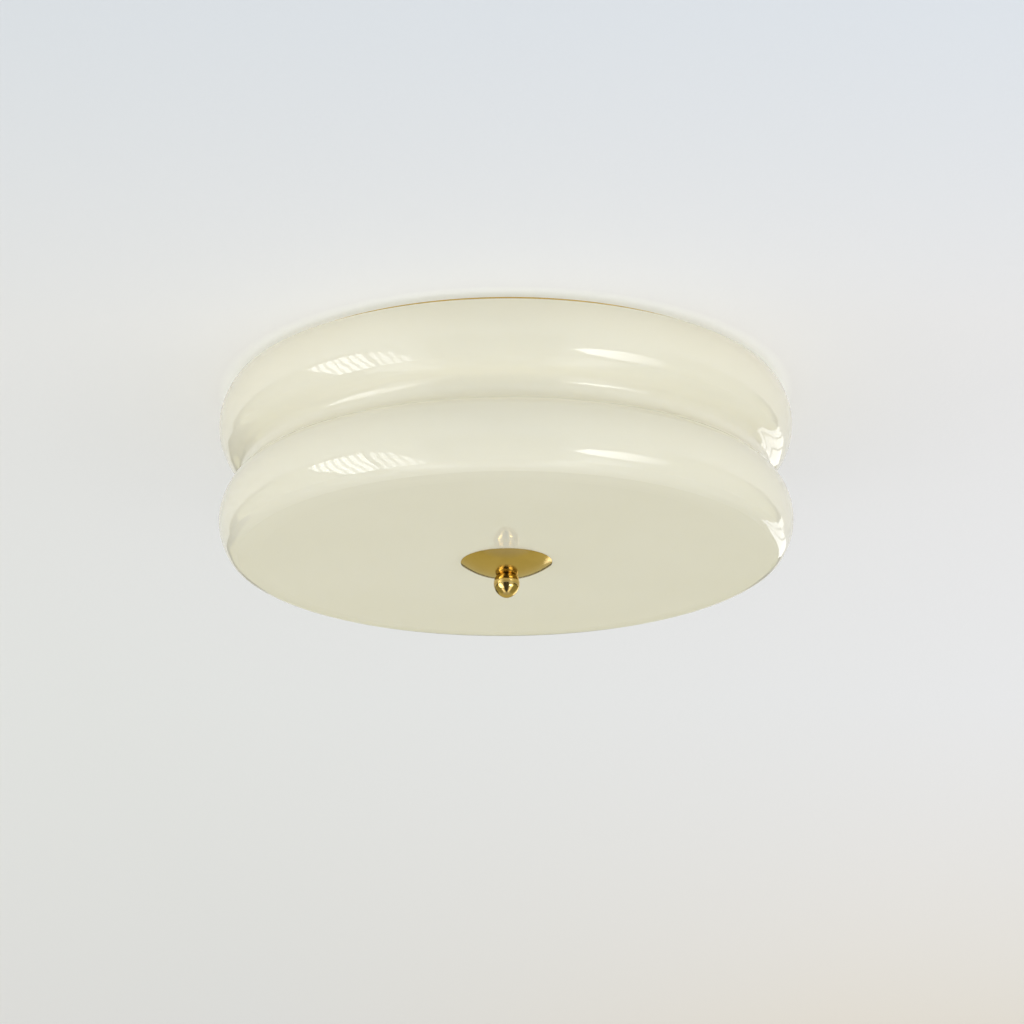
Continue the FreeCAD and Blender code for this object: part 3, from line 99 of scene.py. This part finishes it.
# Moulded pieces: two tones, the range of roughness, and the height of the grain
MOULDED = {
    "holder_plastic": ((222, 220, 212), (230, 228, 221), (0.42, 0.55), 0.03 * MM),
    "white_plastic": ((228, 228, 223), (235, 235, 231), (0.38, 0.5), 0.03 * MM),
    "clear_plastic": ((214, 217, 214), (224, 227, 225), (0.22, 0.32), 0.01 * MM),
    "clear_rubber": ((188, 186, 178), (202, 200, 193), (0.5, 0.65), 0.03 * MM),
    "black_rubber": ((30, 30, 31), (44, 44, 45), (0.55, 0.7), 0.04 * MM),
    "lead_sheath": ((214, 213, 207), (224, 223, 218), (0.4, 0.52), 0.02 * MM),
    "bulb_plastic": ((232, 232, 228), (239, 239, 236), (0.24, 0.32), 0.01 * MM),
}
ROD_PITCH = 1.25 * MM
STUD_PITCH = 0.7 * MM
# Wave textures repeat 20 times over a length of tau at a scale of 1
WAVE_TURNS = 20


def linear(colour):
    """A colour given as screen values out of 255, in linear light."""
    shares = [value / 255 for value in colour]
    return [share / 12.92 if share <= 0.04045 else ((share + 0.055) / 1.055) ** 2.4
            for share in shares]


def opaque(colour):
    return (*linear(colour), 1.0)


# Node helpers

class Recipe:
    """A new material with its shader, and short calls that add the nodes feeding it."""

    def __init__(self, name):
        self.material = bpy.data.materials.new(name)
        self.material.use_nodes = True
        self.tree = self.material.node_tree
        self.shader = self.found("BSDF_PRINCIPLED")
        self.place = self.node("ShaderNodeTexCoord").outputs["Object"]

    def found(self, kind):
        return next(node for node in self.tree.nodes if node.type == kind)

    def node(self, kind, **settings):
        made = self.tree.nodes.new(kind)
        for key, value in settings.items():
            setattr(made, key, value)
        return made

    def link(self, source, target):
        self.tree.links.new(source, target)

    def put(self, **values):
        """Set plain values on the shader's own sockets."""
        for key, value in values.items():
            self.shader.inputs[key.replace("_", " ")].default_value = value

    def axes(self):
        """The place on the surface as separate X, Y and Z."""
        split = self.node("ShaderNodeSeparateXYZ")
        self.link(self.place, split.inputs[0])
        return split.outputs

    def noise(self, scale, detail=2.0):
        made = self.node("ShaderNodeTexNoise")
        made.inputs["Scale"].default_value = scale
        made.inputs["Detail"].default_value = detail
        self.link(self.place, made.inputs["Vector"])
        return made.outputs["Fac"]

    def cells(self, scale):
        made = self.node("ShaderNodeTexVoronoi")
        made.inputs["Scale"].default_value = scale
        self.link(self.place, made.inputs["Vector"])
        return made.outputs["Color"]

    def wave(self, scale, direction, rings=False, distortion=0.0):
        made = self.node("ShaderNodeTexWave", wave_type="RINGS" if rings else "BANDS")
        if rings:
            made.rings_direction = direction
        else:
            made.bands_direction = direction
        made.inputs["Scale"].default_value = scale
        made.inputs["Distortion"].default_value = distortion
        self.link(self.place, made.inputs["Vector"])
        return made.outputs["Fac"]

    def tones(self, factor, stops):
        """A colour that runs through the given stops, each a share from 0 to 1 with its colour."""
        made = self.node("ShaderNodeValToRGB")
        ramp = made.color_ramp
        while len(ramp.elements) < len(stops):
            ramp.elements.new(1.0)
        for element, (position, colour) in zip(ramp.elements, stops):
            element.position = position
            element.color = opaque(colour)
        self.link(factor, made.inputs["Fac"])
        return made.outputs["Color"]

    def between(self, factor, low, high, start=0.3, end=0.7):
        """A colour that runs from low to high as the factor runs from start to end."""
        return self.tones(factor, [(start, low), (end, high)])

    def spread(self, factor, low, high, start=0.3, end=0.7):
        """A number that runs from low to high as the factor runs from start to end."""
        made = self.node("ShaderNodeMapRange")
        for key, value in (("From Min", start), ("From Max", end),
                           ("To Min", low), ("To Max", high)):
            made.inputs[key].default_value = value
        self.link(factor, made.inputs["Value"])
        return made.outputs["Result"]

    def mixed(self, factor, first, second):
        made = self.node("ShaderNodeMix", data_type="RGBA")
        for socket, source in zip((0, 6, 7), (factor, first, second)):
            self.link(source, made.inputs[socket])
        return made.outputs[2]

    def colour(self, source):
        self.link(source, self.shader.inputs["Base Color"])

    def rough(self, source):
        self.link(source, self.shader.inputs["Roughness"])

    def bump(self, pattern, height):
        """Turn a pattern into relief of a height in metres."""
        made = self.node("ShaderNodeBump")
        made.inputs["Distance"].default_value = height
        made.inputs["Strength"].default_value = 1.0
        self.link(pattern, made.inputs["Height"])
        self.link(made.outputs["Normal"], self.shader.inputs["Normal"])


# Materials of the lamp

def opal_glass():
    """Cream cased glass: almost even in colour, with a slight swell under a hard gloss."""
    glass = Recipe("opal_glass")
    glass.put(IOR=1.5, Subsurface_Weight=0.4, Subsurface_Scale=16 * MM,
              Subsurface_Radius=(1.0, 0.95, 0.8))
    glass.colour(glass.between(glass.noise(scale=7.0), low=(221, 216, 195), high=(224, 219, 199)))
    glass.rough(glass.spread(glass.noise(scale=30.0), low=0.004, high=0.012))
    glass.bump(glass.noise(scale=9.0, detail=1.0), height=0.12 * MM)
    return glass.material


def metal(name):
    made = Recipe(name)
    made.put(Metallic=1.0)
    return made


def polished_brass():
    """Lacquered brass with the fine rings that turning leaves about the lamp's axis."""
    brass = metal("polished_brass")
    brass.colour(brass.between(brass.noise(scale=60.0), low=(209, 179, 104), high=(218, 188, 116)))
    brass.rough(brass.spread(brass.noise(scale=400.0), low=0.1, high=0.18))
    brass.bump(brass.wave(scale=900.0, direction="Z", rings=True, distortion=1.0),
               height=0.006 * MM)
    return brass.material


def plain_brass():
    """Pressed brass: a little dull, with drawing marks and faint tarnish."""
    brass = metal("plain_brass")
    brass.colour(brass.between(brass.noise(scale=180.0, detail=4.0),
                               low=(188, 156, 92), high=(214, 184, 118)))
    brass.rough(brass.spread(brass.noise(scale=500.0), low=0.28, high=0.42))
    brass.bump(brass.noise(scale=900.0), height=0.02 * MM)
    return brass.material


def zinc_steel():
    """Zinc plate: pale grey cells of slightly different tone, and a satin grain."""
    steel = metal("zinc_steel")
    steel.colour(steel.between(steel.cells(scale=260.0), low=(168, 172, 177), high=(202, 205, 208),
                               start=0.0, end=1.0))
    steel.rough(steel.spread(steel.noise(scale=350.0), low=0.26, high=0.44))
    steel.bump(steel.noise(scale=800.0), height=0.02 * MM)
    return steel.material


def threaded_steel(pitch):
    """Zinc plated thread, its turns drawn as relief along the lamp's axis."""
    steel = metal("threaded_steel")
    steel.colour(steel.between(steel.noise(scale=350.0), low=(172, 175, 180), high=(204, 207, 210)))
    steel.rough(steel.spread(steel.noise(scale=700.0), low=0.24, high=0.4))
    steel.bump(steel.wave(scale=math.tau / (WAVE_TURNS * pitch), direction="Z"), height=0.5 * pitch)
    return steel.material


def moulded(name, low, high, roughness, grain):
    """Moulded plastic or rubber: faint cloudiness in its colour and a fine grain."""
    part = Recipe(name)
    part.colour(part.between(part.noise(scale=120.0), low, high))
    part.rough(part.spread(part.noise(scale=300.0), *roughness))
    part.bump(part.noise(scale=1600.0), height=grain)
    return part.material


def earth_sheath():
    """Green sheath with a slanting yellow stripe."""
    sheath = Recipe("earth_sheath")
    stripe = sheath.wave(scale=70.0, direction="DIAGONAL")
    sheath.colour(sheath.between(stripe, low=(54, 128, 52), high=(222, 204, 60),
                                 start=0.62, end=0.66))
    sheath.rough(sheath.spread(sheath.noise(scale=400.0), low=0.4, high=0.55))
    sheath.bump(sheath.noise(scale=1500.0), height=0.02 * MM)
    return sheath.material


def bulb_opal():
    """Satin opal plastic of a lamp's globe."""
    globe = Recipe("bulb_opal")
    globe.put(Subsurface_Weight=0.25, Subsurface_Scale=2 * MM)
    globe.colour(globe.between(globe.noise(scale=40.0), low=(241, 240, 234), high=(246, 245, 240)))
    globe.rough(globe.spread(globe.noise(scale=500.0), low=0.34, high=0.44))
    globe.bump(globe.noise(scale=1400.0), height=0.01 * MM)
    return globe.material


def finishes():
    """The material for each of the record's material slots."""
    made = {name: moulded(name, *settings) for name, settings in MOULDED.items()}
    made.update(opal_glass=opal_glass(), polished_brass=polished_brass(), plain_brass=plain_brass(),
                zinc_steel=zinc_steel(), cap_metal=zinc_steel(), earth_sheath=earth_sheath(),
                bulb_opal=bulb_opal())
    return made


def dress(frame):
    """Give every node the finish of its slot, and the threaded bars their threads."""
    made = finishes()
    chosen = {row["node"]: made[row["material_slot"]] for row in frame["record"]["subparts"]}
    chosen["centre_rod"] = threaded_steel(ROD_PITCH)
    chosen["strap_studs"] = threaded_steel(STUD_PITCH)
    for name, piece in frame["nodes"].items():
        for slot in piece.material_slots:
            slot.material = chosen[name]


# Stage

def plain_object(name, shape, material):
    """A stage object from a filled mesh."""
    data = bpy.data.meshes.new(name)
    shape.to_mesh(data)
    shape.free()
    data.materials.append(material)
    made = bpy.data.objects.new(name, data)
    bpy.context.scene.collection.objects.link(made)
    return made


def ring(name, inner, outer, height, faces_down, material):
    """A flat ring about the lamp's axis, a full disc where its inner radius is nothing."""
    shape = bmesh.new()
    steps = [math.tau * step / CIRCLE_STEPS for step in range(CIRCLE_STEPS)]
    circles = [[shape.verts.new((radius * math.cos(turn), radius * math.sin(turn), height))
                for turn in steps] for radius in (inner, outer) if radius]
    if inner:
        for index in range(CIRCLE_STEPS):
            after = (index + 1) % CIRCLE_STEPS
            shape.faces.new((circles[0][index], circles[0][after],
                             circles[1][after], circles[1][index]))
    else:
        shape.faces.new(circles[0])
    shape.normal_update()
    if (shape.faces[:][0].normal.z > 0) == faces_down:
        bmesh.ops.reverse_faces(shape, faces=shape.faces[:])
    return plain_object(name, shape, material)


def one_sided(recipe):
    """Let rays through the back of the surface."""
    back = recipe.node("ShaderNodeNewGeometry").outputs["Backfacing"]
    mix = recipe.node("ShaderNodeMixShader")
    recipe.link(back, mix.inputs[0])
    recipe.link(recipe.shader.outputs[0], mix.inputs[1])
    recipe.link(recipe.node("ShaderNodeBsdfTransparent").outputs[0], mix.inputs[2])
    recipe.link(mix.outputs[0], recipe.found("OUTPUT_MATERIAL").inputs["Surface"])


def painted_bounce_glow(paint):
    """Painted light: a glow set into the ceiling round the lamp, standing in for the light that the
    glass and the brass throw back there.
    """
    reach = paint.node("ShaderNodeVectorMath", operation="LENGTH")
    paint.link(paint.place, reach.inputs[0])
    bounce = paint.spread(reach.outputs["Value"], PAINTED_BOUNCE_LEVEL, 0.0, *PAINTED_BOUNCE_REACH)
    paint.link(bounce, paint.shader.inputs["Emission Strength"])
    paint.put(Emission_Color=(*PAINTED_BOUNCE_TINT, 1.0))


def ceiling_paint_and_painted_light():
    """Matt white paint with painted light: cooler and darker near the camera and warmer far off,
    for how the room's light falls on it, with a faint roller grain and a painted glow round the
    lamp.
    """
    paint = Recipe("ceiling_paint_and_painted_light")
    paint.put(Roughness=0.9, Specular_IOR_Level=0.1)
    axes = paint.axes()
    depth = paint.spread(axes["Y"], 0.0, 1.0, *CEILING_DEPTHS)
    across = paint.spread(axes["X"], 0.0, 1.0, *CEILING_SIDES)
    paint.colour(paint.mixed(across, paint.tones(depth, CEILING_LEFT_PAINTED_LIGHT),
                             paint.tones(depth, CEILING_RIGHT_PAINTED_LIGHT)))
    paint.bump(paint.noise(scale=240.0), height=0.1 * MM)
    painted_bounce_glow(paint)
    one_sided(paint)
    return paint.material


def floor_paint():
    """Pale floor far under the lamp."""
    paint = Recipe("floor_paint")
    paint.put(Roughness=0.8)
    paint.colour(paint.between(paint.noise(scale=1.5), low=(226, 226, 223), high=(230, 230, 228)))
    one_sided(paint)
    return paint.material


def stage():
    ring("ceiling", CEILING_HOLE, CEILING_REACH, CEILING_RISE, True, ceiling_paint_and_painted_light())
    floor = ring("floor", 0.0, FLOOR_REACH, FLOOR_DROP, False, floor_paint())
    floor.visible_diffuse = False
    floor.visible_glossy = False
    floor.visible_shadow = False


# Light

def heading(azimuth, elevation):
    """A direction from the lamp in degrees: azimuth 0 is away from the camera, 90 to its right."""
    turn, rise = math.radians(azimuth), math.radians(elevation)
    level = math.cos(rise)
    return Vector((math.sin(turn) * level, math.cos(turn) * level, math.sin(rise)))


def world_light():
    """An even pale room, brighter to the sides, where its windows are."""
    world = bpy.data.worlds.new("room")
    bpy.context.scene.world = world
    world.use_nodes = True
    tree = world.node_tree
    background = next(node for node in tree.nodes if node.type == "BACKGROUND")
    split = tree.nodes.new("ShaderNodeSeparateXYZ")
    tree.links.new(tree.nodes.new("ShaderNodeTexCoord").outputs["Generated"], split.inputs[0])

    def worked(kind, *values):
        step = tree.nodes.new("ShaderNodeMath")
        step.operation = kind
        for socket, value in zip(step.inputs, values):
            if isinstance(value, float):
                socket.default_value = value
            else:
                tree.links.new(value, socket)
        return step.outputs[0]

    sideways = worked("ABSOLUTE", split.outputs["X"])
    sides = worked("MULTIPLY_ADD", sideways, WORLD_SIDES, WORLD_LEVEL)
    level = worked("MULTIPLY_ADD", split.outputs["Y"], -WORLD_FRONT, sides)
    room = worked("MAXIMUM", level, WORLD_LEAST)
    seen = tree.nodes.new("ShaderNodeLightPath").outputs["Is Camera Ray"]
    backdrop = worked("MULTIPLY", seen, BACKDROP_LEVEL)
    tree.links.new(worked("MAXIMUM", room, backdrop), background.inputs["Strength"])
    background.inputs["Color"].default_value = (*WORLD_TINT, 1.0)


def add_light(name, kind, direction, power):
    """A lamp shining from a direction, kept out of reflections."""
    data = bpy.data.lights.new(name, kind)
    data.energy = power
    light = bpy.data.objects.new(name, data)
    light.rotation_mode = "QUATERNION"
    light.rotation_quaternion = heading(*direction).to_track_quat("Z", "Y")
    light.visible_glossy = False
    bpy.context.scene.collection.objects.link(light)
    return light


def fill_light(name, direction, power, colour):
    """Even light that casts no shadow, as a pale room throws back."""
    light = add_light(name, "SUN", direction, power)
    light.data.color = colour
    light.data.use_shadow = False


def window_light(name, direction):
    """A soft window-sized light aimed at the lamp."""
    light = add_light(name, "AREA", direction, WINDOW_POWER)
    light.data.shape = "RECTANGLE"
    light.data.size, light.data.size_y = WINDOW_SIZE
    light.location = CAMERA_TARGET + heading(*direction) * WINDOW_DISTANCE
    light.visible_camera = False


def panel_glow(name, strength, tint=WHITE, folds=0.0, fade=None):
    """Light of a window or wall panel: plain, hung with folds, or fading along its width."""
    glow = Recipe(name)
    emission = glow.node("ShaderNodeEmission")
    glow.link(emission.outputs[0], glow.found("OUTPUT_MATERIAL").inputs["Surface"])
    emission.inputs["Color"].default_value = (*tint, 1.0)
    level = emission.inputs["Strength"]
    level.default_value = strength
    if folds:
        wave = glow.wave(folds, "X", distortion=FOLD_DISTORTION)
        glow.link(glow.spread(wave, FOLD_SHADE * strength, strength, *FOLD_RANGE), level)
    if fade:
        glow.link(glow.spread(glow.axes()["X"], 0.0, strength, *fade), level)
    return glow.material


def panel(name, distance, glow, corners):
    """A flat panel seen only in reflections, with its corners in the given directions."""
    towards = sum((heading(*corner) for corner in corners), Vector()).normalized()
    across = Vector((0, 0, 1)).cross(towards).normalized()
    upward = towards.cross(across)
    shape = bmesh.new()
    points = []
    for corner in corners:
        ray = heading(*corner)
        reach = ray * (distance / ray.dot(towards)) - towards * distance
        points.append(shape.verts.new((reach.dot(across), reach.dot(upward), 0)))
    shape.faces.new(points)
    made = plain_object(name, shape, panel_glow(f"{name}_glow", **glow))
    turn = Matrix((across, upward, towards)).transposed().to_4x4()
    made.matrix_world = Matrix.Translation(CAMERA_TARGET + towards * distance) @ turn
    made.visible_camera = False
    made.visible_diffuse = False
    made.visible_shadow = False
    made.visible_transmission = False


def wall(name, first, last, strength):
    """A pale wall as a reflection, with a dark strip of painted shade along its cornice."""
    for part_name, distance, (top, bottom), glow in (
            (name, WALL_DISTANCE, WALL_HEIGHTS, {"strength": strength, "tint": WALL_TINT}),
            (f"{name}_cornice", CORNICE_DISTANCE, CORNICE_HEIGHTS, {"strength": CORNICE_SHADE_GLOW})):
        panel(part_name, distance, glow,
              [(first, top), (last, top), (last, bottom), (first, bottom)])


def lights():
    world_light()
    for fill in FILLS:
        fill_light(*fill)
    for window in WINDOWS:
        window_light(*window)
    for settings in PANELS:
        panel(*settings)
    for settings in WALLS:
        wall(*settings)


# Camera

def camera():
    """The photograph's viewpoint."""
    data = bpy.data.cameras.new("camera")
    data.lens = CAMERA_LENS
    data.sensor_width = SENSOR_WIDTH
    right = Vector((math.cos(CAMERA_YAW), math.sin(CAMERA_YAW), 0.0))
    ahead = Vector((-math.sin(CAMERA_YAW) * math.cos(CAMERA_PITCH),
                    math.cos(CAMERA_YAW) * math.cos(CAMERA_PITCH), math.sin(CAMERA_PITCH)))
    upward = right.cross(ahead)
    rolled_right = right * math.cos(CAMERA_ROLL) + upward * math.sin(CAMERA_ROLL)
    rolled_up = upward * math.cos(CAMERA_ROLL) - right * math.sin(CAMERA_ROLL)
    view = bpy.data.objects.new("camera", data)
    back = Vector((0.0, -math.cos(CAMERA_RISE), -math.sin(CAMERA_RISE)))
    turn = Matrix((rolled_right, rolled_up, -ahead)).transposed().to_4x4()
    view.matrix_world = Matrix.Translation(CAMERA_TARGET + back * CAMERA_DISTANCE) @ turn
    bpy.context.scene.collection.objects.link(view)
    bpy.context.scene.camera = view


with open("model.json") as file:
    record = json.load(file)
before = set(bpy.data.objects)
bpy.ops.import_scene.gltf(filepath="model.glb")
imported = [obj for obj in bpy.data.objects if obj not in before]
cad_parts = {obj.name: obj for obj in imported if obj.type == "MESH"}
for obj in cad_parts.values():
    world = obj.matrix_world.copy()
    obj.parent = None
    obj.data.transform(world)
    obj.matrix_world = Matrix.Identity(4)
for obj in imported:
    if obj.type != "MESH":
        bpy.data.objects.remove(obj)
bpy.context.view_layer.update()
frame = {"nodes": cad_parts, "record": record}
bpy.context.scene.view_settings.view_transform = "Standard"
camera()
dress(frame)
stage()
lights()
